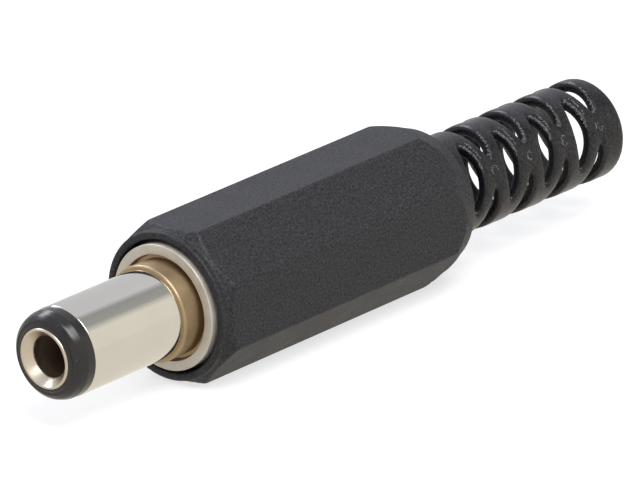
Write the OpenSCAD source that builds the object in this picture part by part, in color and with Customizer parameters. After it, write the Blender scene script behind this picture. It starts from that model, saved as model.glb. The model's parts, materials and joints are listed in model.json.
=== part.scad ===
// DC barrel plug with a screw-on cover and a slotted bend relief.
// Lengths run along X: the tip of the plug is at -X and the cable leaves at +X.
// X = 0 is the shoulder that the mouth of a socket meets, on the axis of the plug.
// The plug lies on the lowest flat of its octagonal cover, which faces -Z.

/* [Outer contact] */
// Outside diameter of the outer contact
barrel_d = 5.5; // [5:0.05:6]
// Length of the outer contact in front of the shoulder
barrel_len = 7.35; // [6:0.05:9]
// Wall of the outer contact
barrel_wall = 0.4; // [0.35:0.01:0.5]
// Step in radius where its root enters the collar
root_step = 0.2; // [0.16:0.01:0.25]
// Length of that root
root_len = 4.2; // [3:0.1:5]

/* [Centre contact] */
// Bore that takes the pin of the socket
pin_bore_d = 2.5; // [2.1:0.05:2.6]
// Depth of that bore from the tip of the plug
pin_bore_depth = 12.5; // [10:0.1:14]
// Wall of the tube round the bore
tube_wall = 0.35; // [0.25:0.01:0.4]
// How far the lip spreads past the tube
lip_reach = 0.25; // [0.15:0.01:0.35]
// Thickness of the lip
lip_t = 0.3; // [0.2:0.01:0.4]
// How far the lip stands in front of the nose
lip_proud = 0.1; // [0.05:0.01:0.15]
// Depth of the cone that leads a pin into the bore
flare_depth = 0.55; // [0.5:0.05:1.2]
// Width of the lip's flat edge round the cone
flare_land = 0.12; // [0.05:0.01:0.2]
// Diameter of the riveted tail
tail_d = 2; // [1.6:0.1:2.4]
// Diameter of the rivet head
rivet_d = 3; // [2.7:0.1:3.4]
// Thickness of the rivet head
rivet_t = 0.4; // [0.3:0.05:0.6]

/* [Nose insulator] */
// How far the nose stands in front of the outer contact
nose_len = 1.4; // [1.2:0.05:2]
// Rounding of the front corner of the nose
nose_round = 0.8; // [0.5:0.05:0.8]
// Step in radius from the outer contact down to the nose
nose_step = 0.05; // [0.02:0.01:0.1]

/* [Collar] */
// Wall of the neck round the root of the outer contact
neck_wall = 0.43; // [0.35:0.01:0.6]
// How far the rim lies behind the shoulder
rim_setback = 1.35; // [1:0.05:2]
// Width of the groove between the neck and the rim
groove_w = 0.26; // [0.2:0.01:0.4]
// Width of the flat face of the rim
rim_w = 0.6; // [0.4:0.01:0.8]
// Depth of the groove between the rim and the neck
groove_depth = 0.42; // [0.2:0.01:0.6]
// How far each side of the groove leans, in radius
groove_draft = 0.07; // [0.02:0.01:0.07]
// Chamfer round the front of the neck
neck_chamfer = 0.12; // [0.05:0.01:0.15]
// Chamfer round the outer edge of the rim
rim_chamfer = 0.05; // [0.02:0.01:0.1]
// Thickness of the flange behind the rim's face
flange_t = 1.25; // [1:0.05:1.6]
// Step in radius from the flange down to the thread that holds the cover
thread_step = 0.34; // [0.25:0.01:0.45]
// Length of that thread
thread_len = 5.4; // [4:0.1:7]
// How far the staked edge spreads past the boss that carries the earth lug
stake_reach = 0.17; // [0.1:0.01:0.2]
// Thickness of the staked edge
stake_t = 0.4; // [0.3:0.05:0.6]

/* [Terminals] */
// Thickness of the stamped lugs
lug_t = 0.4; // [0.3:0.05:0.5]
// Thickness of the washer under the centre lug
washer_t = 0.5; // [0.4:0.05:0.8]
// Clearance between the washer and the earth lug's tongue
washer_clearance = 0.1; // [0.05:0.01:0.3]
// Width of the centre lug's tongue
centre_lug_w = 1.8; // [1.6:0.1:2.2]
// Length of the centre lug's tongue behind its eye
centre_lug_len = 4.4; // [4:0.1:6]
// Height of the centre lug's tongue above the axis, to its top face
centre_lug_h = 2.2; // [2.1:0.05:2.4]
// Clearance between the earth lug and the space in the cover
lug_clearance = 0.2; // [0.15:0.01:0.25]
// How far the earth lug's eye reaches inside its tongue
eye_reach = 0.25; // [0.2:0.01:0.3]
// Angle that the earth lug's tongue spans
earth_tongue_angle = 56; // [44:2:70]
// Length of the earth lug from its eye to its clamp
earth_tongue_len = 5.2; // [4.5:0.1:7]
// Clearance behind the washer before the tongue bends in towards the cable
bend_clearance = 0.2; // [0.1:0.05:0.3]
// Length of that bend
bend_len = 0.6; // [0.4:0.05:0.8]
// Distance from the wire hole in the tongue to the clamp
hole_setback = 2; // [1:0.1:2.1]
// Angle that the clamp's ears span
clamp_angle = 200; // [160:5:230]
// Length of the clamp
clamp_len = 2.8; // [2:0.1:3.5]
// Diameter of the wire holes in both lugs
wire_hole_d = 1.1; // [0.9:0.05:1.2]

/* [Cover] */
// How far the flats of the cover stand outside its lip
flat_step = 0.15; // [0.1:0.01:0.6]
// How far the lip of the cover lies behind the face of the rim
lip_setback = 0.2; // [0.1:0.05:0.4]
// Wall of the lip round the mouth of the cover
lip_wall = 0.49; // [0.4:0.01:0.7]
// Length of the lip
lip_len = 0.42; // [0.3:0.02:0.6]
// Depth of the notch behind the lip
lip_notch = 0.07; // [0.03:0.01:0.1]
// Clearance round the rim in the mouth of the cover
mouth_clearance = 0.22; // [0.1:0.01:0.3]
// Length from the lip to the start of the rear shoulder
cover_len = 20.5; // [18:0.5:26]
// Length of the rear shoulder
shoulder_len = 1.9; // [1.5:0.1:3]
// How far the end of the rear shoulder lies inside the flats
shoulder_step = 0.38; // [0.3:0.01:0.8]
// Rounding of the shoulder's rear edge
shoulder_round = 0.3; // [0.2:0.05:0.5]
// Clearance between the collar's thread and the cover, in radius
thread_clearance = 0.05; // [0.02:0.01:0.08]
// Length of the taper from that space down to the cable hole
taper_len = 2; // [1.5:0.1:3]

/* [Bend relief] */
// Diameter of the cable hole in the neck of the relief
cable_d = 4.9; // [4.5:0.05:5.2]
// Wall of the relief
relief_wall = 0.7; // [0.6:0.01:0.9]
// How much wider the hole is behind the neck, in radius
hole_ease = 0.05; // [0.02:0.01:0.1]
// Length of plain neck in front of the first slot
neck_len = 1.35; // [1.2:0.05:2]
// Number of rows of slots
slot_rows = 4; // [2:1:6]
// Width of the side slots at their middle
side_slot_w = 1.5; // [1.2:0.05:1.6]
// Length of the side slots from tip to tip
side_slot_len = 4.7; // [4:0.05:5]
// How far the side slots' floor lies inside the wall of the cable hole
side_depth = 0.35; // [0.2:0.01:0.5]
// Width of the cross slots at their middle
cross_slot_w = 1.9; // [1.8:0.05:2.2]
// Length of the cross slots from tip to tip
cross_slot_len = 6.4; // [6:0.05:6.6]
// How far the cross slots' floor lies inside the wall of the cable hole
cross_depth = 1.65; // [1.4:0.01:1.8]
// Width of the bar between two cross slots
cross_bar_w = 1.23; // [0.9:0.01:1.5]
// Length of the plain ring at the end
end_ring_len = 1.05; // [0.7:0.05:1.5]
// Rounding of the ring's outer edge
end_ring_round = 0.35; // [0.2:0.05:0.4]

/* [Hidden] */
$fn = 96;
// how far solids that fuse run into each other, and how far a cut runs past a face
eps = 0.01;
past = 1;

// radii, and the sides of the cover's octagon
barrel_r = barrel_d / 2;
root_r = barrel_r - root_step;
insulator_r = barrel_r - barrel_wall;
pin_bore_r = pin_bore_d / 2;
tube_r = pin_bore_r + tube_wall;
lip_r = tube_r + lip_reach;
neck_r = root_r + neck_wall;
rim_in_r = neck_r + groove_w;
rim_r = rim_in_r + rim_w;
thread_r = rim_r - thread_step;
earth_r = thread_r - lug_clearance;
tongue_in_r = earth_r - lug_t;
boss_r = tongue_in_r - eye_reach;
mouth_r = rim_r + mouth_clearance;
mouth_lip_r = mouth_r + lip_wall;
cover_r = mouth_lip_r + flat_step;
cover_sides = 8;
cover_corner_r = cover_r / cos(180 / cover_sides);
cable_r = cable_d / 2;
relief_r = cable_r + relief_wall;

// places along X, from the tip back
nose_x = -barrel_len - nose_len;
tip_x = nose_x - lip_proud;
lip_back_x = tip_x + lip_t;
flange_x = rim_setback + flange_t;
boss_x = flange_x + thread_len;
stake_x = boss_x + lug_t;
collar_end_x = stake_x + stake_t;
washer_end_x = collar_end_x + washer_t;
eye_end_x = washer_end_x + lug_t;
clamp_x = boss_x + earth_tongue_len;
clamp_end_x = clamp_x + clamp_len;
cover_x = rim_setback + lip_setback;
shoulder_x = cover_x + cover_len;
shoulder_end_x = shoulder_x + shoulder_len;
cover_end_x = shoulder_end_x + shoulder_round;
cable_hole_x = cover_end_x - taper_len / 2;
hole_step_x = cover_end_x + neck_len / 2;
first_slot_x = cover_end_x + neck_len + side_slot_w / 2;
slot_pitch = cross_slot_w + cross_bar_w;
cross_offset = slot_pitch / 2;
last_cross_x = first_slot_x + (slot_rows - 1) * slot_pitch + cross_offset;
relief_end_x = last_cross_x + cross_slot_w / 2 + end_ring_len;

// the moulding's parting plane runs through two opposite corners of the octagon
parting_angle = 180 / cover_sides;

// turns a profile of [radius, X] into a solid round the X axis
module turned() {
  rotate([0, 90, 0])
    rotate_extrude()
      children();
}

// a ring or rod of one radius between two places along X
module rod(r, x0, x1) {
  translate([x0, 0, 0])
    rotate([0, 90, 0])
      cylinder(h = x1 - x0, r = r);
}

// a lens with pointed ends: the part that two equal circles share
module lens(width, length) {
  r = (length * length + width * width) / (4 * width);
  intersection() {
    translate([r - width / 2, 0])
      circle(r = r, $fn = 256);
    translate([width / 2 - r, 0])
      circle(r = r, $fn = 256);
  }
}

// two opposite slots, from a flat floor each side of the axis out through the wall
module slot_pair(x, angle, width, length, floor_h) {
  translate([x, 0, 0])
    rotate([90 - angle, 0, 0])
      for (side = [0, 180])
        rotate([side, 0, 0])
          translate([0, 0, floor_h])
            linear_extrude(height = relief_r)
              lens(width, length);
}

// the outside of the cover: an octagonal bar, coned at both ends, with a lip round its mouth
module cover_body() {
  intersection() {
    translate([cover_x, 0, 0])
      rotate([0, 90, 0])
        rotate([0, 0, 180 / cover_sides])
          linear_extrude(height = cover_end_x - cover_x)
            circle(r = cover_corner_r, $fn = cover_sides);
    turned()
      cover_profile();
  }
}

// the cones that cut the corners of that bar: 45 degrees in front, a long slope behind
module cover_profile() {
  notch_x = cover_x + lip_len;
  notch_r = mouth_lip_r - lip_notch;
  bar_r = cover_corner_r + eps;
  shoulder_r = cover_r - shoulder_step;
  round_r = shoulder_r - shoulder_round;
  union() {
    polygon([
      [0, cover_x],
      [mouth_lip_r - lip_notch, cover_x],
      [mouth_lip_r, cover_x + lip_notch],
      [mouth_lip_r, notch_x - lip_notch],
      [notch_r, notch_x],
      [bar_r, notch_x + bar_r - notch_r],
      [bar_r, shoulder_x],
      [shoulder_r, shoulder_end_x],
      [round_r, shoulder_end_x],
      [round_r, cover_end_x],
      [0, cover_end_x]
    ]);
    translate([round_r, shoulder_end_x])
      circle(r = shoulder_round);
  }
}

// the tube behind the cover, rounded at its end
module relief_tube() {
  round_r = relief_r - end_ring_round;
  round_x = relief_end_x - end_ring_round;
  turned()
    union() {
      polygon([
        [0, cover_end_x - eps],
        [relief_r, cover_end_x - eps],
        [relief_r, round_x],
        [round_r, round_x],
        [round_r, relief_end_x],
        [0, relief_end_x]
      ]);
      translate([round_r, round_x])
        circle(r = end_ring_round);
    }
}

// the space inside: a seat for the flange, the thread's bore, the terminal space and the cable hole
module cover_bore() {
  thread_bore_r = thread_r + thread_clearance;
  cavity_r = earth_r + lug_clearance;
  relief_hole_r = cable_r + hole_ease;
  turned()
    polygon([
      [0, cover_x - lip_notch],
      [mouth_r + 2 * lip_notch, cover_x - lip_notch],
      [mouth_r + lip_notch, cover_x],
      [mouth_r, cover_x + lip_notch],
      [mouth_r, flange_x],
      [thread_bore_r, flange_x],
      [thread_bore_r, stake_x],
      [cavity_r, stake_x],
      [cavity_r, cable_hole_x - taper_len],
      [cable_r, cable_hole_x],
      [cable_r, hole_step_x],
      [relief_hole_r, hole_step_x],
      [relief_hole_r, relief_end_x + past],
      [0, relief_end_x + past]
    ]);
}

module handle() {
  color("#2b2b2f")
    difference() {
      union() {
        cover_body();
        relief_tube();
      }
      cover_bore();
      for (row = [0 : slot_rows - 1]) {
        slot_pair(first_slot_x + row * slot_pitch, parting_angle,
                  side_slot_w, side_slot_len, cable_r - side_depth);
        slot_pair(first_slot_x + row * slot_pitch + cross_offset, parting_angle + 90,
                  cross_slot_w, cross_slot_len, cable_r - cross_depth);
      }
    }
}

module collar() {
  groove_x = rim_setback + groove_depth;
  stake_r = boss_r + stake_reach;
  color("#cfc8b4")
    turned()
      polygon([
        [root_r, 0],
        [neck_r - neck_chamfer, 0],
        [neck_r, neck_chamfer],
        [neck_r - groove_draft, groove_x],
        [rim_in_r - groove_draft, groove_x],
        [rim_in_r, rim_setback],
        [rim_r - rim_chamfer, rim_setback],
        [rim_r, rim_setback + rim_chamfer],
        [rim_r, flange_x],
        [thread_r, flange_x],
        [thread_r, boss_x],
        [boss_r, boss_x],
        [boss_r, stake_x],
        [stake_r, stake_x],
        [stake_r, collar_end_x],
        [insulator_r, collar_end_x],
        [insulator_r, root_len],
        [root_r, root_len]
      ]);
}

module barrel() {
  color("#d6d6d2")
    difference() {
      union() {
        rod(barrel_r, -barrel_len, 0);
        rod(root_r, -eps, root_len);
      }
      rod(insulator_r, -barrel_len - past, root_len + past);
    }
}

module nose_insulator() {
  nose_r = barrel_r - nose_step;
  lip_seat = lip_t - lip_proud;
  color("#18181a")
    difference() {
      turned()
        union() {
          polygon([
            [0, nose_x],
            [nose_r - nose_round, nose_x],
            [nose_r - nose_round, nose_x + nose_round],
            [nose_r, nose_x + nose_round],
            [nose_r, -barrel_len],
            [insulator_r, -barrel_len],
            [insulator_r, collar_end_x],
            [0, collar_end_x]
          ]);
          translate([nose_r - nose_round, nose_x + nose_round])
            circle(r = nose_round);
        }
      rod(tube_r, nose_x - past, collar_end_x + past);
      rod(lip_r, nose_x - past, nose_x + lip_seat);
    }
}

module centre_contact() {
  tail_r = tail_d / 2;
  bore_end_x = tip_x + pin_bore_depth;
  color("#d9d4c4")
    turned()
      polygon([
        [lip_r - flare_land, tip_x],
        [lip_r, tip_x + flare_land / 2],
        [lip_r, lip_back_x],
        [tube_r, lip_back_x],
        [tube_r, washer_end_x],
        [tail_r, washer_end_x],
        [tail_r, eye_end_x],
        [rivet_d / 2, eye_end_x],
        [rivet_d / 2, eye_end_x + rivet_t / 2],
        [tail_r, eye_end_x + rivet_t],
        [0, eye_end_x + rivet_t],
        [0, bore_end_x],
        [pin_bore_r, bore_end_x],
        [pin_bore_r, tip_x + flare_depth]
      ]);
}

module insulating_washer() {
  color("#8a5a34")
    difference() {
      rod(tongue_in_r - washer_clearance, collar_end_x, washer_end_x);
      rod(tube_r, collar_end_x - past, washer_end_x + past);
    }
}

// everything within an angle of one side of the X axis, which here is +Z
module sector(x0, x1, angle) {
  reach = 2 * earth_r;
  translate([x0, 0, 0])
    rotate([0, 90, 0])
      linear_extrude(height = x1 - x0)
        polygon([[0, 0], [-reach, -reach * tan(angle / 2)], [-reach, reach * tan(angle / 2)]]);
}

// a ring with a curved tongue, which bends in behind the washer and ends in two ears round the cable
module earth_terminal() {
  bend_x = washer_end_x + bend_clearance;
  clamp_r = cable_r + lug_t;
  color("#c9b06a")
    difference() {
      turned()
        polygon([
          [boss_r, boss_x],
          [earth_r, boss_x],
          [earth_r, bend_x],
          [clamp_r, bend_x + bend_len],
          [clamp_r, clamp_end_x],
          [cable_r, clamp_end_x],
          [cable_r, bend_x + bend_len],
          [tongue_in_r, bend_x],
          [tongue_in_r, stake_x],
          [boss_r, stake_x]
        ]);
      difference() {
        rod(2 * earth_r, stake_x, clamp_x);
        rotate([180, 0, 0])
          sector(stake_x - past, clamp_x + past, earth_tongue_angle);
      }
      sector(clamp_x, clamp_end_x + past, 360 - clamp_angle);
      translate([clamp_x - hole_setback, 0, -2 * earth_r])
        cylinder(h = 2 * earth_r, d = wire_hole_d);
    }
}

// the centre lug's side view: an upright eye, a rounded bend and a tongue that runs back
module centre_lug_side() {
  bend_r = 2 * lug_t;
  bend_x = washer_end_x + bend_r;
  bend_z = centre_lug_h - bend_r;
  translate([washer_end_x, 0])
    square([lug_t, bend_z]);
  translate([bend_x, centre_lug_h - lug_t])
    square([centre_lug_len - bend_r, lug_t]);
  intersection() {
    translate([washer_end_x, bend_z])
      square([bend_r, bend_r]);
    translate([bend_x, bend_z])
      difference() {
        circle(r = bend_r);
        circle(r = bend_r - lug_t);
      }
  }
}

module centre_terminal() {
  eye_r = centre_lug_h;
  hole_x = washer_end_x + centre_lug_len - centre_lug_w / 2;
  color("#c9b06a")
    difference() {
      union() {
        intersection() {
          rod(eye_r, washer_end_x, eye_end_x);
          translate([washer_end_x, -eye_r, -eye_r])
            cube([lug_t, 2 * eye_r, eye_r + centre_lug_h - 2 * lug_t]);
        }
        translate([0, centre_lug_w / 2, 0])
          rotate([90, 0, 0])
            linear_extrude(height = centre_lug_w)
              centre_lug_side();
      }
      rod(tail_d / 2, washer_end_x - past, eye_end_x + past);
      translate([hole_x, 0, 0])
        cylinder(h = 2 * centre_lug_h, d = wire_hole_d);
    }
}

handle();
collar();
barrel();
nose_insulator();
centre_contact();
insulating_washer();
earth_terminal();
centre_terminal();
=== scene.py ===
import json
import math

import bmesh
import bpy
import numpy as np
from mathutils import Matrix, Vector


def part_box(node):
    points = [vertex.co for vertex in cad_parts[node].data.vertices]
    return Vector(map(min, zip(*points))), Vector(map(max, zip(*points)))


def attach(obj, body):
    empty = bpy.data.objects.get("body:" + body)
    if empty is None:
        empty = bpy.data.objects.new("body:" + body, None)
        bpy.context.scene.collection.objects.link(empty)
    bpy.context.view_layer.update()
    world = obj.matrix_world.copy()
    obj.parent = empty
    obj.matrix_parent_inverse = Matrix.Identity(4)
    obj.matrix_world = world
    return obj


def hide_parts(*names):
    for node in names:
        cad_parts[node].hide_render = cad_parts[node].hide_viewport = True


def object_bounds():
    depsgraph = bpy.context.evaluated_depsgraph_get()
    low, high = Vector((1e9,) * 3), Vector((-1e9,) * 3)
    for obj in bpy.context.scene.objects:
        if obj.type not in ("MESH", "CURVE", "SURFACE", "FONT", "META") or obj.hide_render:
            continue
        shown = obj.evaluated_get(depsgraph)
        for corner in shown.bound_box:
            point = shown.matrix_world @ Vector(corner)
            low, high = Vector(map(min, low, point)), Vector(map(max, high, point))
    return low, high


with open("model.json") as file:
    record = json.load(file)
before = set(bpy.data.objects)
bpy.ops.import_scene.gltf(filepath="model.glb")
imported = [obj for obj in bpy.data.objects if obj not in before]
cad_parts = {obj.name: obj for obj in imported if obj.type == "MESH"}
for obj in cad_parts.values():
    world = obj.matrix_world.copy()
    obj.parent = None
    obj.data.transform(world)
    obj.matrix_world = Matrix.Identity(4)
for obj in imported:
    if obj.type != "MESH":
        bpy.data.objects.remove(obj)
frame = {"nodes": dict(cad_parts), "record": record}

import openvdb
from mathutils import Matrix, Vector

cad_low, cad_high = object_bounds()
mounts = {mount["name"]: mount for mount in frame["record"]["mounts"]}
MM = 0.001


# ---------------------------------------------------------------------------------------
# The studio: a white floor under a white tent, with one large softbox over the left
# shoulder, a strip light along the far side and a long lens that looks down on the plug.
# ---------------------------------------------------------------------------------------
camera_azimuth = math.radians(-47.7)
camera_elevation = math.radians(20.1)
camera_roll = math.radians(-2.65)
camera_distance = 0.6
camera_target = Vector((15.15 * MM, 0, 0))
lens_mm = 573.0

back = Vector((math.sin(camera_azimuth) * math.cos(camera_elevation),
               -math.cos(camera_azimuth) * math.cos(camera_elevation),
               math.sin(camera_elevation)))
level_right = Vector((math.cos(camera_azimuth), math.sin(camera_azimuth), 0))
level_up = back.cross(level_right)
right = level_right * math.cos(camera_roll) + level_up * math.sin(camera_roll)
up = level_up * math.cos(camera_roll) - level_right * math.sin(camera_roll)

camera = bpy.data.objects.new("camera", bpy.data.cameras.new("camera"))
camera.data.lens = lens_mm
camera.data.sensor_width = 36.0
camera.data.clip_start = 0.01
camera.data.clip_end = 20.0
camera.matrix_world = Matrix((right, up, back)).transposed().to_4x4()
camera.location = camera_target + back * camera_distance
bpy.context.scene.collection.objects.link(camera)
bpy.context.scene.camera = camera
bpy.context.scene.view_settings.view_transform = "Standard"


def linear(hex_colour):
    """An sRGB hex colour as linear RGBA."""
    parts = [int(hex_colour[i:i + 2], 16) / 255 for i in (1, 3, 5)]
    return [c / 12.92 if c <= 0.04045 else ((c + 0.055) / 1.055) ** 2.4 for c in parts] + [1.0]


def add(tree, kind, inputs=None, links=None, **settings):
    """One node, with its settings, its sockets' values and the sockets that feed it."""
    node = tree.nodes.new(kind)
    for key, value in settings.items():
        setattr(node, key, value)
    for key, value in (inputs or {}).items():
        node.inputs[key].default_value = value
    for key, source in (links or {}).items():
        tree.links.new(source, node.inputs[key])
    return node


def empty_material(name):
    """A material with nodes and nothing in its tree yet."""
    material = bpy.data.materials.new(name)
    material.use_nodes = True
    material.node_tree.nodes.clear()
    return material, material.node_tree


def ray_kinds(tree):
    """1 for rays that the eye follows straight or through glass, and 1 for those off a gloss."""
    path = add(tree, "ShaderNodeLightPath").outputs
    to_eye = add(tree, "ShaderNodeMath", operation="MAXIMUM",
                 links={0: path["Is Camera Ray"], 1: path["Is Transmission Ray"]})
    return to_eye.outputs[0], path["Is Glossy Ray"]


# white paper floor: it glows white to the eye and keeps a soft shadow under the plug, and
# polished metal sees it as an even cream sheet
floor_material, tree = empty_material("white_paper_floor")
to_eye, off_gloss = ray_kinds(tree)
paper = add(tree, "ShaderNodeBsdfDiffuse", inputs={"Color": linear("#eeeeee")})
veil = add(tree, "ShaderNodeBsdfDiffuse", inputs={"Color": linear("#a4a4a4")})
glow = add(tree, "ShaderNodeEmission", inputs={"Color": linear("#ffffff"), "Strength": 0.68})
white = add(tree, "ShaderNodeAddShader", links={0: veil.outputs[0], 1: glow.outputs[0]})
shown = add(tree, "ShaderNodeMixShader",
            links={"Fac": to_eye, 1: paper.outputs[0], 2: white.outputs[0]})
sheet = add(tree, "ShaderNodeEmission", inputs={"Color": linear("#e9e4da"), "Strength": 1.1})
mirrored = add(tree, "ShaderNodeMixShader",
               links={"Fac": off_gloss, 1: shown.outputs[0], 2: sheet.outputs[0]})
add(tree, "ShaderNodeOutputMaterial", links={"Surface": mirrored.outputs[0]})

floor_half = 1.5
floor_mesh = bpy.data.meshes.new("floor")
floor_mesh.from_pydata([(x * floor_half, y * floor_half, cad_low.z)
                        for x, y in ((-1, -1), (1, -1), (1, 1), (-1, 1))], [], [(0, 1, 2, 3)])
floor_mesh.materials.append(floor_material)
floor = bpy.data.objects.new("floor", floor_mesh)
bpy.context.scene.collection.objects.link(floor)

# the tent: white to the eye, softer as a light, and in the metal a cream wall, a grey gap over
# it and a cooler roof, by the bearing in degrees round the plug's axis
world = bpy.data.worlds.new("white_tent")
world.use_nodes = True
tree = world.node_tree
tree.nodes.clear()
to_eye, off_gloss = ray_kinds(tree)
direction = add(tree, "ShaderNodeTexCoord").outputs["Generated"]
split = add(tree, "ShaderNodeSeparateXYZ", links={"Vector": direction}).outputs
toward = add(tree, "ShaderNodeMath", operation="MULTIPLY", inputs={1: -1.0},
             links={0: split["Y"]})
bearing = add(tree, "ShaderNodeMath", operation="ARCTAN2",
              links={0: split["Z"], 1: toward.outputs[0]})
share = add(tree, "ShaderNodeMapRange", inputs={"From Min": -math.pi, "From Max": math.pi},
            links={"Value": bearing.outputs[0]})
tent_colours = ((-180, "#ece8e0"), (42, "#f6f2e8"), (58, "#b0b1b0"), (80, "#a8aaab"),
                (93, "#e0e0e6"), (180, "#dadbe2"))
wall = add(tree, "ShaderNodeValToRGB", links={"Fac": share.outputs[0]})
while len(wall.color_ramp.elements) < len(tent_colours):
    wall.color_ramp.elements.new(0.5)
for stop, (degrees, hex_colour) in zip(wall.color_ramp.elements, tent_colours):
    stop.position = degrees / 360 + 0.5
    stop.color = linear(hex_colour)
lit = add(tree, "ShaderNodeBackground", inputs={"Color": linear("#f4f6ff"), "Strength": 0.62})
mirror = add(tree, "ShaderNodeBackground", inputs={"Strength": 1.02},
             links={"Color": wall.outputs["Color"]})
plain = add(tree, "ShaderNodeBackground", inputs={"Color": linear("#ffffff"), "Strength": 1.0})
in_metal = add(tree, "ShaderNodeMixShader",
               links={"Fac": off_gloss, 1: lit.outputs[0], 2: mirror.outputs[0]})
tent = add(tree, "ShaderNodeMixShader",
           links={"Fac": to_eye, 1: in_metal.outputs[0], 2: plain.outputs[0]})
add(tree, "ShaderNodeOutputWorld", links={"Surface": tent.outputs[0]})
bpy.context.scene.world = world


def softbox(name, place, size, watts, hex_colour):
    """A rectangular area lamp that faces the plug."""
    lamp = bpy.data.lights.new(name, "AREA")
    lamp.shape = "RECTANGLE"
    lamp.size, lamp.size_y = size
    lamp.energy = watts
    lamp.color = linear(hex_colour)[:3]
    holder = bpy.data.objects.new(name, lamp)
    holder.location = place
    holder.rotation_euler = (camera_target - Vector(place)).to_track_quat("-Z", "Y").to_euler()
    bpy.context.scene.collection.objects.link(holder)


softbox("key_softbox", (-0.10, -0.28, 0.50), (0.40, 0.30), 3.2, "#ffffff")
softbox("far_strip", (0.05, 0.40, 0.34), (0.50, 0.12), 1.4, "#f2f6ff")


# ---------------------------------------------------------------------------------------
# The outer contact: a brass tube drawn to size, rolled in at its front edge, pressed into
# the collar and plated with bright nickel, so it mirrors what stands round it.
# ---------------------------------------------------------------------------------------
def rounded(corners, steps=6):
    """A closed outline from corners (x, r) or (x, r, fillet), in mm."""
    count, path = len(corners), []
    for i, corner in enumerate(corners):
        here = Vector(corner[:2])
        fillet = corner[2] if len(corner) > 2 else 0.0
        before = (Vector(corners[i - 1][:2]) - here).normalized()
        after = (Vector(corners[(i + 1) % count][:2]) - here).normalized()
        if fillet == 0.0:
            path.append(here)
            continue
        half = before.angle(after) / 2
        middle = (before + after).normalized()
        centre = here + middle * fillet / math.sin(half)
        across = (before - after).normalized()
        sweep = math.pi / 2 - half
        for k in range(steps + 1):
            turn = sweep * (1 - 2 * k / steps)
            path.append(centre + (across * math.sin(turn) - middle * math.cos(turn)) * fillet)
    return path


def turned(name, outline, segments=256):
    """A mesh turned about the X axis from a closed outline of (x, r) in mm."""
    shape = bmesh.new()
    rings = []
    for k in range(segments):
        angle = 2 * math.pi * k / segments
        rings.append([shape.verts.new((x * MM, r * MM * math.cos(angle), r * MM * math.sin(angle)))
                      for x, r in outline])
    for k in range(segments):
        this, following = rings[k], rings[(k + 1) % segments]
        for i in range(len(outline)):
            j = (i + 1) % len(outline)
            if outline[i][1] > 0 or outline[j][1] > 0:
                shape.faces.new((this[i], this[j], following[j], following[i]))
    bmesh.ops.remove_doubles(shape, verts=shape.verts, dist=1e-8)
    bmesh.ops.recalc_face_normals(shape, faces=shape.faces)
    return as_piece(name, shape)


def as_piece(name, shape, crease=math.radians(40)):
    """A bmesh as an object at the origin, smooth but for its creases."""
    mesh = bpy.data.meshes.new(name)
    shape.to_mesh(mesh)
    shape.free()
    mesh.polygons.foreach_set("use_smooth", [True] * len(mesh.polygons))
    mesh.set_sharp_from_angle(angle=crease)
    return placed(name, mesh)


def placed(name, mesh):
    """A mesh as an object of the scene, at the origin."""
    piece = bpy.data.objects.new(name, mesh)
    bpy.context.scene.collection.objects.link(piece)
    return piece


def settle(piece, material, body, slot, *nodes):
    """Gives a finished piece its material and its body, and hides the CAD nodes it stands for. The
    slot is not used.
    """
    if piece.data.materials:
        piece.data.materials[0] = material
    else:
        piece.data.materials.append(material)
    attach(piece, body)
    if nodes:
        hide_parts(*nodes)


def noise(tree, place, scale, detail=2.0, roughness=0.5):
    """Noise of a scale in cells to the metre."""
    return add(tree, "ShaderNodeTexNoise",
               inputs={"Scale": scale, "Detail": detail, "Roughness": roughness},
               links={"Vector": place}).outputs["Fac"]


def stretched(tree, place, along, across):
    """Places scaled by one number along the plug's axis and by another across it."""
    return add(tree, "ShaderNodeMapping", inputs={"Scale": (along, across, across)},
               links={"Vector": place}).outputs[0]


def spread(tree, value, low, high, start=0.0, end=1.0, **settings):
    """A value that runs from start to end, spread from low to high."""
    return add(tree, "ShaderNodeMapRange",
               inputs={"From Min": start, "From Max": end, "To Min": low, "To Max": high},
               links={"Value": value}, **settings).outputs[0]


def between(tree, share, hex_colour, other_hex):
    """A colour that lies between two others by a share."""
    return add(tree, "ShaderNodeMix", data_type="RGBA",
               inputs={6: linear(hex_colour), 7: linear(other_hex)}, links={0: share}).outputs[2]


def bumped(tree, height, strength, distance, normal=None):
    """A surface's normal, tilted by a height over a distance in metres."""
    links = {"Height": height} if normal is None else {"Height": height, "Normal": normal}
    return add(tree, "ShaderNodeBump", inputs={"Strength": strength, "Distance": distance},
               links=links).outputs[0]


def surface(tree, inputs, links):
    """A Principled shader on the material's surface."""
    shader = add(tree, "ShaderNodeBsdfPrincipled", inputs=inputs, links=links)
    add(tree, "ShaderNodeOutputMaterial", links={"Surface": shader.outputs[0]})


# bright nickel on drawn brass: a cool silver mirror that drifts a little in tone, with faint
# draw lines
bright_nickel, tree = empty_material("bright_nickel_plate")
place = add(tree, "ShaderNodeTexCoord").outputs["Object"]
# stains about 3 mm across
drift = noise(tree, place, 330.0, detail=3.0)
# draw lines 0.05 mm apart along the axis, coarser than the real ones so that they show
lines = noise(tree, stretched(tree, place, 20000.0, 900.0), 1.0)
drawn = bumped(tree, lines, 0.12, 2e-6)
# orange peel of the plating, 0.6 mm
peel = noise(tree, place, 1600.0, detail=1.0)
surface(tree, {"Metallic": 1.0},
        {"Base Color": between(tree, drift, "#dedbd4", "#d3d0c8"),
         "Roughness": spread(tree, drift, 0.044, 0.0715),
         "Normal": bumped(tree, peel, 0.35, 6e-6, drawn)})

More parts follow.
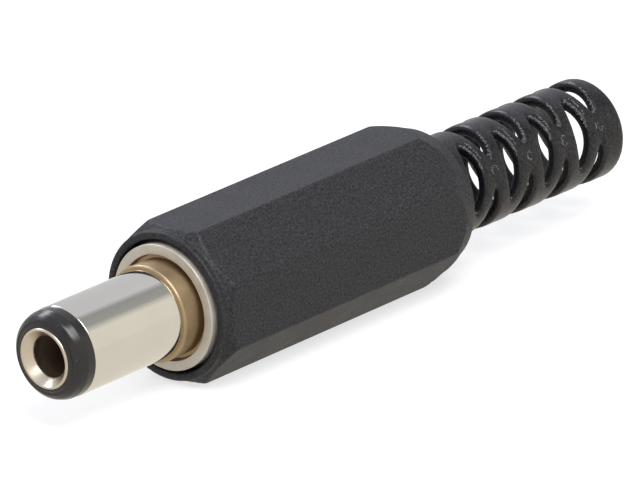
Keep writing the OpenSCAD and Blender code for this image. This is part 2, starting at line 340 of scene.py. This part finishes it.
barrel_r = mounts["outer_contact"]["dims"]["r_mm"]
barrel_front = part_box("barrel")[0].x / MM
root_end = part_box("barrel")[1].x / MM
root_r = 2.55
insulator_r = 2.35
roll = 0.06
barrel = turned("outer_contact", rounded([
    (barrel_front, insulator_r, 0.04),
    (barrel_front, barrel_r, roll),
    (0.0, barrel_r),
    (0.0, root_r),
    (root_end, root_r, 0.03),
    (root_end, insulator_r, 0.03),
]))
settle(barrel, bright_nickel, "plug_front", "nickel", "barrel")


# ---------------------------------------------------------------------------------------
# The collar: turned from brass bar and nickel plated. Its neck grips the outer contact, its
# rim stops the cover, and the fine thread behind the flange holds the cover on.
# ---------------------------------------------------------------------------------------
neck_r = 2.98
rim_in_r = 3.24
rim_r = -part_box("collar")[0].z / MM
rim_x = 1.35
groove_depth = 0.42
groove_lean = 0.07
flange_x = 2.6
thread_r = 3.5
boss_x, boss_r = 8.0, 2.65
stake_x, stake_r = 8.4, 2.82
collar_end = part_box("collar")[1].x / MM
thread_pitch = 0.75
thread_depth = 0.3
thread_fade = 0.5
thread_steps = 140


def off_axis(tree, place):
    """How far a place lies along the plug's axis, and how far from it."""
    split = add(tree, "ShaderNodeSeparateXYZ", links={"Vector": place}).outputs
    flat = add(tree, "ShaderNodeCombineXYZ", links={"Y": split["Y"], "Z": split["Z"]})
    radius = add(tree, "ShaderNodeVectorMath", operation="LENGTH", links={0: flat.outputs[0]})
    return split["X"], radius.outputs["Value"]


def math_node(tree, operation, *terms):
    """A Math node whose terms are numbers or the sockets that feed them."""
    node = add(tree, "ShaderNodeMath", operation=operation)
    for i, term in enumerate(terms):
        if isinstance(term, (int, float)):
            node.inputs[i].default_value = term
        else:
            tree.links.new(term, node.inputs[i])
    return node.outputs[0]


# plated brass: frosted silver on the rim, and a darker, warmer satin down in the groove and on the
# neck, which is painted shade of the recess
collar_metal, tree = empty_material("nickel_plate_on_turned_brass")
place = add(tree, "ShaderNodeTexCoord").outputs["Object"]
radius = off_axis(tree, place)[1]
# the groove's mask: it paints shade into the recess below the rim's inner edge
in_shaded_groove = spread(tree, radius, 1.0, 0.0, (rim_in_r - 0.08) * MM, (rim_in_r + 0.02) * MM,
                   interpolation_type="SMOOTHSTEP")
# blotches 1.4 mm across, in the tone and in the gloss
blotch = noise(tree, place, 700.0, detail=5.0, roughness=0.6)
# painted shade: the tone darkens and warms toward the groove
tone = between(tree, math_node(tree, "MULTIPLY", in_shaded_groove, 0.85), "#d9d2c4", "#bda279")
mottled = add(tree, "ShaderNodeMix", data_type="RGBA", blend_type="MULTIPLY",
              inputs={0: 0.45}, links={6: tone, 7: blotch}).outputs[2]
# tool marks: rings 0.06 mm apart on every face that the lathe cut, under a fine grit
rings = math_node(tree, "SINE", math_node(tree, "MULTIPLY", radius, 2 * math.pi / (0.06 * MM)))
marks = bumped(tree, rings, 0.25, 3e-6)
grit = noise(tree, place, 9000.0, detail=3.0)
# only half of the rim's light is mirrored, and the rest scatters
surface(tree, {}, {"Base Color": mottled, "Roughness": spread(tree, blotch, 0.34, 0.56),
                   "Metallic": math_node(tree, "MULTIPLY_ADD", in_shaded_groove, 0.5, 0.5),
                   "Normal": bumped(tree, grit, 1.0, 1.2e-5, marks)})

groove_x = rim_x + groove_depth
thread_span = [(flange_x + (boss_x - flange_x) * k / thread_steps, thread_r)
               for k in range(1, thread_steps)]
collar = turned("collar", rounded([
    (0.0, root_r),
    (0.0, neck_r, 0.18),
    (groove_x, neck_r - groove_lean, 0.05),
    (groove_x, rim_in_r - groove_lean, 0.05),
    (rim_x, rim_in_r, 0.03),
    (rim_x, rim_r, 0.06),
    (flange_x, rim_r, 0.06),
    (flange_x, thread_r),
    *thread_span,
    (boss_x, thread_r, 0.1),
    (boss_x, boss_r),
    (stake_x, boss_r),
    (stake_x, stake_r, 0.05),
    (collar_end, stake_r, 0.12),
    (collar_end, insulator_r),
    (root_end, insulator_r),
    (root_end, root_r),
]))


def geometry_tree(name, **sockets):
    """A geometry tree with Geometry in and out and further named inputs, and its inputs."""
    tree = bpy.data.node_groups.new(name, "GeometryNodeTree")
    for title, kind in {"Geometry": "Geometry", **sockets}.items():
        tree.interface.new_socket(title, in_out="INPUT", socket_type="NodeSocket" + kind)
    tree.interface.new_socket("Geometry", in_out="OUTPUT", socket_type="NodeSocketGeometry")
    return tree, add(tree, "NodeGroupInput").outputs


def dress(tree, geometry, material):
    """Ends a geometry tree: one real mesh, in its material."""
    real = add(tree, "GeometryNodeRealizeInstances", links={"Geometry": geometry})
    dressed = add(tree, "GeometryNodeSetMaterial",
                  links={"Geometry": real.outputs[0], "Material": material})
    add(tree, "NodeGroupOutput", links={"Geometry": dressed.outputs[0]})


def grow(piece, tree, **inputs):
    """Runs a geometry tree on a piece and keeps the result as its plain mesh."""
    modifier = piece.modifiers.new(tree.name, "NODES")
    modifier.node_group = tree
    for item in tree.interface.items_tree:
        if item.item_type == "SOCKET" and item.in_out == "INPUT" and item.name in inputs:
            modifier[item.identifier] = inputs[item.name]
    bpy.context.view_layer.update()
    evaluated = piece.evaluated_get(bpy.context.evaluated_depsgraph_get())
    plain = bpy.data.meshes.new_from_object(evaluated)
    piece.modifiers.remove(modifier)
    piece.data = plain


# The thread is cut into the turned blank by a tree that presses a helix into its surface.
flank_gain = 2.3
root_round = 0.2
on_face = 0.01
tree, given = geometry_tree("screw_thread", Start="Float", End="Float", Radius="Float",
                            Pitch="Float", Depth="Float", Material="Material")
position = add(tree, "GeometryNodeInputPosition").outputs[0]
x, y, z = add(tree, "ShaderNodeSeparateXYZ", links={"Vector": position}).outputs
flat = add(tree, "ShaderNodeCombineXYZ", links={"Y": y, "Z": z}).outputs[0]
radius = add(tree, "ShaderNodeVectorMath", operation="LENGTH", links={0: flat}).outputs["Value"]
outward = add(tree, "ShaderNodeVectorMath", operation="NORMALIZE", links={0: flat}).outputs[0]
turns = math_node(tree, "DIVIDE", x, given["Pitch"])
angle = math_node(tree, "ARCTAN2", z, y)
phase = math_node(tree, "SUBTRACT", turns, math_node(tree, "DIVIDE", angle, 2 * math.pi))
saw = math_node(tree, "PINGPONG", phase, 0.5)
groove = math_node(tree, "SMOOTH_MIN", math_node(tree, "MULTIPLY", saw, flank_gain), 1.0,
                   root_round)
from_start = math_node(tree, "SUBTRACT", x, given["Start"])
to_end = math_node(tree, "SUBTRACT", given["End"], x)
lead = math_node(tree, "DIVIDE", math_node(tree, "MINIMUM", from_start, to_end),
                 thread_fade * MM)
fade = add(tree, "ShaderNodeClamp", links={"Value": lead}).outputs[0]
sink = math_node(tree, "MULTIPLY", math_node(tree, "MULTIPLY", groove, fade), given["Depth"])
inward = add(tree, "ShaderNodeVectorMath", operation="SCALE",
             links={0: outward, "Scale": math_node(tree, "MULTIPLY", sink, -1.0)})
off_blank = math_node(tree, "ABSOLUTE", math_node(tree, "SUBTRACT", radius, given["Radius"]))
on_blank = add(tree, "FunctionNodeCompare", operation="LESS_THAN", inputs={"B": on_face * MM},
               links={"A": off_blank})
inside = add(tree, "FunctionNodeCompare", operation="GREATER_THAN", inputs={"B": 0.0},
             links={"A": lead})
chosen = add(tree, "FunctionNodeBooleanMath", operation="AND",
             links={0: on_blank.outputs[0], 1: inside.outputs[0]})
cut = add(tree, "GeometryNodeSetPosition",
          links={"Geometry": given["Geometry"], "Selection": chosen.outputs[0],
                 "Offset": inward.outputs[0]})
dress(tree, cut.outputs[0], given["Material"])

grow(collar, tree, Start=flange_x * MM, End=boss_x * MM, Radius=thread_r * MM,
     Pitch=thread_pitch * MM, Depth=thread_depth * MM, Material=collar_metal)
settle(collar, collar_metal, "plug_front", "plated_collar", "collar")


# ---------------------------------------------------------------------------------------
# The nose insulator: glossy black acetal, turned with a bead round the eyelet, a shallow
# valley and a rounded shoulder. It fills the outer contact and holds the centre contact.
# ---------------------------------------------------------------------------------------
# acetal: near black, wet gloss, fine handling marks and a few specks of dust
black_acetal, tree = empty_material("black_acetal")
place = add(tree, "ShaderNodeTexCoord").outputs["Object"]
smear = noise(tree, place, 900.0, detail=4.0, roughness=0.6)
speck = spread(tree, noise(tree, place, 5200.0), 0.0, 1.0, 0.72, 0.80)
surface(tree, {"IOR": 1.48}, {"Base Color": between(tree, speck, "#1d1b1b", "#6e6c6a"),
                              "Roughness": spread(tree, smear, 0.16, 0.34),
                              "Normal": bumped(tree, smear, 0.5, 8e-6)})

nose_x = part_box("nose_insulator")[0].x / MM
nose_r = 2.7
nose_round = 0.8
eyelet_r = 1.85
tube_r = 1.6
eyelet_seat = 0.2
nose = turned("nose_insulator", rounded([
    (nose_x + eyelet_seat, tube_r),
    (nose_x + eyelet_seat, eyelet_r),
    (nose_x, eyelet_r, 0.03),
    (nose_x, eyelet_r + 0.12, 0.08),
    (nose_x + 0.09, eyelet_r + 0.24, 0.12),
    (nose_x + 0.03, eyelet_r + 0.36, 0.2),
    (nose_x + 0.32, nose_r - 0.16, 0.5),
    (nose_x + nose_round, nose_r, 0.4),
    (barrel_front, nose_r, 0.02),
    (barrel_front, insulator_r),
    (collar_end, insulator_r),
    (collar_end, tube_r),
], steps=10))
settle(nose, black_acetal, "plug_front", "insulator", "nose_insulator")


# ---------------------------------------------------------------------------------------
# The centre contact: a nickel-plated tube whose front edge is rolled out into an eyelet, with
# a cone that leads the pin in, and a tail that is riveted over the centre lug.
# ---------------------------------------------------------------------------------------
tip_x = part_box("centre_contact")[0].x / MM
tail_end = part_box("centre_contact")[1].x / MM
pin_bore_r = mounts["centre_bore"]["dims"]["r_mm"]
flare_end = mounts["centre_bore"]["pos_m"][0] / MM
lip_t = 0.3
bore_end = 3.65
washer_end = 9.3
lug_end = 9.7
tail_r = 1.0
rivet_t, rivet_r = 0.2, 1.5
contact = turned("centre_contact", rounded([
    (tip_x, eyelet_r - 0.14, 0.1),
    (tip_x, eyelet_r, 0.14),
    (tip_x + lip_t, eyelet_r, 0.04),
    (tip_x + lip_t, tube_r),
    (washer_end, tube_r),
    (washer_end, tail_r),
    (lug_end, tail_r),
    (lug_end, rivet_r, 0.05),
    (lug_end + rivet_t, rivet_r, 0.12),
    (tail_end, tail_r * 0.8, 0.1),
    (tail_end, 0.0),
    (bore_end, 0.0),
    (bore_end, pin_bore_r),
    (flare_end, pin_bore_r, 0.25),
], steps=8))

# satin nickel outside and on the flare, and a dull brown down the bore that is painted shade of
# the deep hole
satin_nickel, tree = empty_material("satin_nickel_plate")
place = add(tree, "ShaderNodeTexCoord").outputs["Object"]
along, radius = off_axis(tree, place)
deep = spread(tree, along, 0.0, 1.0, (flare_end - 0.1) * MM, (flare_end + 0.9) * MM,
              interpolation_type="SMOOTHSTEP")
# painted shade: where the dark brown goes down the bore
bore_shade_mask = math_node(tree, "MULTIPLY", deep,
                      math_node(tree, "LESS_THAN", radius, (pin_bore_r + 0.1) * MM))
# a fine mottle, 0.4 mm, in the tone, the gloss and the form
mottle = noise(tree, place, 2600.0, detail=4.0, roughness=0.6)
metal = add(tree, "ShaderNodeBsdfPrincipled", inputs={"Metallic": 1.0},
            links={"Base Color": between(tree, mottle, "#d9d1c3", "#c6bba8"),
                   "Roughness": spread(tree, mottle, 0.24, 0.42),
                   "Normal": bumped(tree, mottle, 0.4, 6e-6)})
# a dull brown, darker shader: painted shade inside the bore
bore_shade = add(tree, "ShaderNodeBsdfPrincipled",
              inputs={"Base Color": linear("#6b5849"), "Roughness": 0.55, "Metallic": 0.4})
coated = add(tree, "ShaderNodeMixShader",
             links={"Fac": bore_shade_mask, 1: metal.outputs[0], 2: bore_shade.outputs[0]})
add(tree, "ShaderNodeOutputMaterial", links={"Surface": coated.outputs[0]})
settle(contact, satin_nickel, "plug_front", "nickel", "centre_contact")


# ---------------------------------------------------------------------------------------
# The insulating washer: punched from brown phenolic board, layers of resin-soaked paper. It
# keeps the centre lug off the collar.
# ---------------------------------------------------------------------------------------
# phenolic board: warm brown, a low sheen, with its paper layers in the cut edge
phenolic, tree = empty_material("phenolic_board")
place = add(tree, "ShaderNodeTexCoord").outputs["Object"]
# layers 0.08 mm thick, square to the axis
layers = noise(tree, stretched(tree, place, 12500.0, 500.0), 1.0, detail=3.0)
fibres = math_node(tree, "MULTIPLY", layers, noise(tree, place, 4000.0, detail=4.0))
worn = spread(tree, fibres, 0.0, 1.0, 0.1, 0.45)
surface(tree, {"Roughness": 0.48, "IOR": 1.55},
        {"Base Color": between(tree, worn, "#5a3318", "#9a6434"),
         "Normal": bumped(tree, fibres, 0.5, 1e-5)})

washer_r = -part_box("insulating_washer")[0].z / MM
washer = turned("insulating_washer", rounded([
    (collar_end, tube_r, 0.02),
    (collar_end, washer_r, 0.04),
    (washer_end, washer_r, 0.04),
    (washer_end, tube_r, 0.02),
]))
settle(washer, phenolic, "plug_front", "washer_board", "insulating_washer")


# ---------------------------------------------------------------------------------------
# The two solder lugs: stamped from brass strip and tinned. The earth lug is staked to the
# collar and ends in the ears that clamp the cable, and the centre lug is riveted to the tail.
# ---------------------------------------------------------------------------------------
# tinned brass: a soft grey-white bloom over a yellow metal that shows through where it is thin
tinned_brass, tree = empty_material("tinned_brass_strip")
place = add(tree, "ShaderNodeTexCoord").outputs["Object"]
bloom = noise(tree, place, 1100.0, detail=5.0, roughness=0.62)
# rolling lines along the strip, 0.1 mm apart
rolled = noise(tree, stretched(tree, place, 800.0, 9000.0), 1.0, detail=3.0)
thin = spread(tree, bloom, 0.0, 1.0, 0.54, 0.74)
surface(tree, {"Metallic": 1.0},
        {"Base Color": between(tree, thin, "#cfcdc6", "#c4a868"),
         "Roughness": spread(tree, bloom, 0.24, 0.46),
         "Normal": bumped(tree, rolled, 0.4, 4e-6)})

for node in ("earth_terminal", "centre_terminal"):
    # the CAD node's own form, with its loose triangles joined up into whole faces
    shape = bmesh.new()
    shape.from_mesh(frame["nodes"][node].data)
    bmesh.ops.remove_doubles(shape, verts=shape.verts, dist=1e-7)
    bmesh.ops.dissolve_limit(shape, angle_limit=math.radians(0.5), verts=shape.verts,
                             edges=shape.edges)
    settle(as_piece(node + "_lug", shape), tinned_brass, "plug_front", "tinned_brass", node)


# ---------------------------------------------------------------------------------------
# The cover: one moulding in black polyamide, an octagonal grip with a slotted bend relief
# behind it. The mould leaves its edges soft, and the relief's bars come out the roundest.
# ---------------------------------------------------------------------------------------
# the grid's step, how far its distances reach, and how far it stands clear of the solid
voxel = 0.05
band_cells = 9
margin_cells = 6
# how much the mould rounds the grip and the relief, and where one gives way to the other
cover_softness = 0.055
relief_softness = 0.13
kernel_reach = 2.5
relief_from = 24.6
relief_joint, joint_len = 25.0, 0.2
overlap_cells = 12

# the CAD solid as signed distances in mm on a grid, negative inside
shape = bmesh.new()
shape.from_mesh(frame["nodes"]["handle"].data)
bmesh.ops.remove_doubles(shape, verts=shape.verts, dist=1e-7)
bmesh.ops.triangulate(shape, faces=shape.faces)
shape.verts.index_update()
points = np.array([v.co[:] for v in shape.verts], np.float32) / MM
triangles = np.array([[v.index for v in f.verts] for f in shape.faces], np.uint32)
shape.free()
spacing = openvdb.createLinearTransform(voxel)
distances = openvdb.FloatGrid.createLevelSetFromPolygons(
    points=points, triangles=triangles, transform=spacing, halfWidth=band_cells)
low, high = (np.array(side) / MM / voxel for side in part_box("handle"))
corner = np.floor(low).astype(int) - margin_cells
extent = np.ceil(high).astype(int) + margin_cells + 1 - corner
field = np.zeros(extent, np.float32)
distances.copyToArray(field, ijk=tuple(corner.tolist()))
grid_x, grid_y, grid_z = (np.arange(count, dtype=np.float32) * voxel + start * voxel
                          for count, start in zip(extent, corner.tolist()))


def softened(field, softness):
    """Rounds both the edges and the creases of a distance field."""
    reach = math.ceil(kernel_reach * softness / voxel)
    weights = np.exp(-0.5 * (np.arange(-reach, reach + 1) * voxel / softness) ** 2)
    weights /= weights.sum()
    for axis in range(3):
        margin = [(reach, reach) if a == axis else (0, 0) for a in range(3)]
        padded = np.pad(field, margin, mode="edge")
        field = np.zeros_like(field)
        for step, weight in enumerate(weights.astype(np.float32)):
            window = [slice(None)] * 3
            window[axis] = slice(step, step + field.shape[axis])
            field += weight * padded[tuple(window)]
    return field


# The relief: a tube with lens-shaped slots that follow one shallow helix, two and a half to a
# turn, where the CAD solid has them in opposite pairs. Those on the parting line are the
# shortest, and the whole relief leans a little to the near side.
relief_r = 3.15
relief_hole_r = 2.46
relief_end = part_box("handle")[1].x / MM
relief_lean = 0.2
end_round = 0.35
slot_count = 20
slots_per_turn = 2.5
slots_between_partings = 5
helix_lead = 1.59
first_slot_x = 26.13
slot_w = 1.08
parting_angle = math.radians(22.5)
parting_reach = math.radians(47)
open_reach = math.radians(58)


def slot_middle(slot, swing):
    """Where a slot's middle line runs at an angle of swing from the slot's own bearing."""
    return first_slot_x + helix_lead * (slot / slots_per_turn + swing / (2 * np.pi))


def slot_half(swing, reach):
    """Half a slot's width at an angle of swing from its middle."""
    return slot_w / 2 * (1 - (swing / reach) ** 2)


split = int(np.searchsorted(grid_x, relief_from))
far_x = grid_x[split - overlap_cells:, None, None]
lean = relief_lean * np.clip((far_x - relief_from) / (relief_end - relief_from), 0, 1) ** 2
far_y, far_z = grid_y[None, :, None] + lean, grid_z[None, None, :]
far_r = np.hypot(far_y, far_z)
corner_x = np.maximum(far_x - (relief_end - end_round), 0)
corner_r = np.maximum(far_r - (relief_r - end_round), 0)
outside = np.where((corner_x > 0) & (corner_r > 0), np.hypot(corner_x, corner_r) - end_round,
                   np.maximum(far_x - relief_end, far_r - relief_r))
bars = np.maximum(outside, relief_hole_r - far_r)
bearing = np.arctan2(far_z, -far_y)
for slot in range(slot_count):
    slot_angle = parting_angle + 2 * np.pi * (slot / slots_per_turn)
    swing = (bearing - slot_angle + np.pi) % (2 * np.pi) - np.pi
    reach = open_reach if slot % slots_between_partings else parting_reach
    bars = np.maximum(bars, slot_half(swing, reach) - np.abs(far_x - slot_middle(slot, swing)))
bars = np.clip(bars, -band_cells * voxel, band_cells * voxel).astype(np.float32)
joined = np.clip((grid_x[split - overlap_cells:] - relief_joint) / joint_len, 0, 1)
joined = joined[:, None, None]
bars = field[split - overlap_cells:] * (1 - joined) + bars * joined
field = np.concatenate((softened(field[:split + overlap_cells], cover_softness)[:split],
                        softened(bars.astype(np.float32), relief_softness)[overlap_cells:]))

# the female thread: a groove that winds out from the bore, faded at both ends
female_r = 3.55
female_depth = 0.24
crest_gain, crest_drop = 1.6, 0.3
flank_slope = 0.75
row = slice(int(np.searchsorted(grid_x, flange_x)), int(np.searchsorted(grid_x, boss_x)))
along = grid_x[row][:, None, None]
across = np.hypot(grid_y[:, None], grid_z[None, :])[None]
round_bore = np.arctan2(grid_z[None, :], grid_y[:, None])[None]
winding = along / thread_pitch - round_bore / (2 * np.pi)
sawtooth = 1 - 2 * np.abs(winding - np.round(winding))
fade = np.clip(np.minimum(along - flange_x, boss_x - along) / thread_fade, 0, 1)
bore_r = female_r + female_depth * np.clip(crest_gain * sawtooth - crest_drop, 0, 1) * fade
cut = np.where(across < female_r + 2 * female_depth, (bore_r - across) * flank_slope, -1.0)
field[row] = np.maximum(field[row], cut)

# a small nub on the end ring
nub_angle = math.radians(52)
nub_inset = 0.33
nub_r = 0.13
nub = (relief_end - nub_inset, -relief_r * math.cos(nub_angle), relief_r * math.sin(nub_angle))
nub_distance = np.sqrt((grid_x[split:, None, None] - nub[0]) ** 2
                       + (grid_y[None, :, None] - nub[1]) ** 2
                       + (grid_z[None, None, :] - nub[2]) ** 2) - nub_r
field[split:] = np.minimum(field[split:], nub_distance)

# the surface where the distance is nothing, kept a hair inside the CAD box
hair = 1e-4
solid = openvdb.FloatGrid()
solid.background = band_cells * voxel
solid.copyFromArray(field, ijk=tuple(corner.tolist()))
solid.transform = spacing
points, triangles, quads = solid.convertToPolygons(isovalue=0.0, adaptivity=0.1)
points = np.clip(points, np.array(cad_low) / MM + hair, np.array(cad_high) / MM - hair)
mesh = bpy.data.meshes.new("cover")
mesh.from_pydata(points * MM, [], triangles.tolist() + quads.tolist())
mesh.polygons.foreach_set("use_smooth", [True] * len(mesh.polygons))

# each point's normal is the slope of the distances there
places = points / voxel - corner
below = np.clip(np.floor(places).astype(int), 1, extent - 3)
share = places - below
slope = np.zeros_like(places)
for axis in range(3):
    step = np.eye(3, dtype=int)[axis]
    for mask in np.ndindex(2, 2, 2):
        here = below + mask
        weight = np.prod(np.where(mask, share, 1 - share), axis=1)
        rise = field[tuple((here + step).T)] - field[tuple((here - step).T)]
        slope[:, axis] += weight * rise
slope /= np.linalg.norm(slope, axis=1, keepdims=True) + 1e-12
mesh.normals_split_custom_set_from_vertices(slope)
cover = placed("cover", mesh)


# what changes from the grip to the relief: the tone, the gloss and the depth of the grain
gloss_fade_len = 1.2
relief_tone_change = -0.42
relief_roughness_change = -0.26
relief_grain_change = -0.75


def polyamide(name, dark, light, roughness, grain_depth):
    """Moulded plastic in two tones of one colour, glossier and darker on the relief."""
    material, tree = empty_material(name)
    place = add(tree, "ShaderNodeTexCoord").outputs["Object"]
    # mould grain, 0.15 mm, and clouds of wear, 2 mm
    grain = noise(tree, place, 6600.0, detail=5.0, roughness=0.7)
    cloud = noise(tree, place, 420.0, detail=5.0, roughness=0.6)
    # dust, 0.13 mm
    speck = spread(tree, noise(tree, place, 7900.0, detail=1.0), 0.0, 1.0, 0.76, 0.84)
    along = add(tree, "ShaderNodeSeparateXYZ", links={"Vector": place}).outputs["X"]
    on_relief = spread(tree, along, 0.0, 1.0, relief_from * MM,
                       (relief_from + gloss_fade_len) * MM, interpolation_type="SMOOTHSTEP")
    shade = math_node(tree, "MULTIPLY_ADD", on_relief, relief_tone_change, 1.0)
    coarse = math_node(tree, "MULTIPLY_ADD", on_relief, relief_grain_change, 1.0)
    mixed = between(tree, spread(tree, grain, 0.0, 1.0, 0.36, 0.64), dark, light)
    dusty = add(tree, "ShaderNodeMix", data_type="RGBA", inputs={7: linear("#85878a")},
                links={0: speck, 6: mixed}).outputs[2]
    toned = add(tree, "ShaderNodeVectorMath", operation="SCALE",
                links={0: dusty, "Scale": shade})
    rough = spread(tree, cloud, roughness - 0.1, roughness + 0.12)
    grained = add(tree, "ShaderNodeBump", inputs={"Distance": grain_depth},
                  links={"Height": grain, "Strength": coarse})
    surface(tree, {"IOR": 1.5},
            {"Base Color": toned.outputs[0],
             "Roughness": math_node(tree, "MULTIPLY_ADD", on_relief, relief_roughness_change,
                                    rough),
             "Specular IOR Level": spread(tree, grain, 0.22, 0.52, 0.34, 0.66),
             "Normal": grained.outputs[0]})
    return material


# black polyamide: charcoal, a fine grain that sparkles where light grazes it, and a little dust
moulded_polyamide = polyamide("moulded_black_polyamide", "#121214", "#29292e", 0.56, 1.6e-5)
settle(cover, moulded_polyamide, "cover", "cover_plastic", "handle")


# ---------------------------------------------------------------------------------------
# The flash: crumbs of the same polyamide, coloured lighter grey as a painted highlight, that stand
# along the slots' rims by the parting line and round the knots between them. A geometry tree
# strings them along paths in the surface.
# ---------------------------------------------------------------------------------------
rim_gap = 0.04
shelf_w = 0.30
first_top_slot = 3
knot_count = 4
knot_r = 0.25
# how far each path runs round, from its slot's middle, in steps of three degrees
side_rim = np.radians(np.arange(6, 45, 3))
side_shelf = side_rim[4:]
top_rim = np.radians(np.arange(-57, -20, 3))
paths = []
for slot in range(0, slot_count, slots_between_partings):
    rim = slot_middle(slot, side_rim) + slot_half(side_rim, parting_reach)
    paths.append(list(zip(rim + rim_gap, side_rim)))
    paths.append(list(zip(rim + shelf_w, side_shelf)))
for slot in range(first_top_slot, slot_count, slots_between_partings):
    rim = slot_middle(slot, top_rim) + slot_half(top_rim, open_reach)
    paths.append(list(zip(rim + rim_gap, top_rim + 2 * np.pi * slot / slots_per_turn)))
# part of a ring round each knot, turned a little further at each
for knot in range(knot_count):
    knot_x = first_slot_x + helix_lead * (2 * knot + 1)
    ring = np.radians(np.arange(40 * knot, 40 * knot + 211, 30))
    paths.append([(knot_x + knot_r * math.cos(a), knot_r * math.sin(a) / relief_r)
                  for a in ring])
spots, edges = [], []
for path in paths:
    edges += [(len(spots) + i, len(spots) + i + 1) for i in range(len(path) - 1)]
    spots += [(x * MM, -relief_r * MM * math.cos(parting_angle + swing),
               relief_r * MM * math.sin(parting_angle + swing)) for x, swing in path]
marks = bpy.data.meshes.new("flash_paths")
marks.from_pydata(spots, edges, [])
flash = placed("cover_flash", marks)

tree, given = geometry_tree("flash_crumbs", Surface="Object", Spacing="Float", Jitter="Float",
                            Size="Float", Seed="Int", Material="Material")
strung = add(tree, "GeometryNodeMeshToCurve", links={"Mesh": given["Geometry"]})
beads = add(tree, "GeometryNodeCurveToPoints", mode="LENGTH",
            links={"Curve": strung.outputs[0], "Length": given["Spacing"]})
apart = add(tree, "FunctionNodeRandomValue", data_type="FLOAT_VECTOR",
            inputs={0: (-1.0, -1.0, -1.0), 1: (1.0, 1.0, 1.0)}, links={"Seed": given["Seed"]})
strayed = add(tree, "ShaderNodeVectorMath", operation="SCALE",
              links={0: apart.outputs[0], "Scale": given["Jitter"]})
loose = add(tree, "GeometryNodeSetPosition",
            links={"Geometry": beads.outputs["Points"], "Offset": strayed.outputs[0]})
plastic = add(tree, "GeometryNodeObjectInfo", links={"Object": given["Surface"]})
nearest = add(tree, "GeometryNodeProximity", links={0: plastic.outputs["Geometry"]})
stuck = add(tree, "GeometryNodeSetPosition",
            links={"Geometry": loose.outputs[0], "Position": nearest.outputs["Position"]})
ball = add(tree, "GeometryNodeMeshIcoSphere", inputs={"Radius": 1.0, "Subdivisions": 2})
crumb = add(tree, "GeometryNodeSetShadeSmooth", links={"Geometry": ball.outputs[0]})
sizes = add(tree, "FunctionNodeRandomValue", data_type="FLOAT_VECTOR",
            inputs={0: (0.25, 0.25, 0.25), 1: (1.0, 1.0, 1.0)},
            links={"Seed": math_node(tree, "ADD", given["Seed"], 7.0)})
scaled = add(tree, "ShaderNodeVectorMath", operation="SCALE",
             links={0: sizes.outputs[0], "Scale": given["Size"]})
crumbs = add(tree, "GeometryNodeInstanceOnPoints",
             links={"Points": stuck.outputs[0], "Instance": crumb.outputs[0],
                    "Scale": scaled.outputs[0]})
dress(tree, crumbs.outputs[0], given["Material"])

# flash crumbs, lighter grey than the moulding: a painted highlight for the glints along the rims
glint_painted_flash = polyamide("flash_with_painted_glints", "#3a3a3c", "#8c8c8e", 0.52, 1.0e-5)
grow(flash, tree, Surface=cover, Spacing=0.05 * MM, Jitter=0.075 * MM, Size=0.085 * MM, Seed=3,
     Material=glint_painted_flash)
settle(flash, glint_painted_flash, "cover", "cover_plastic")
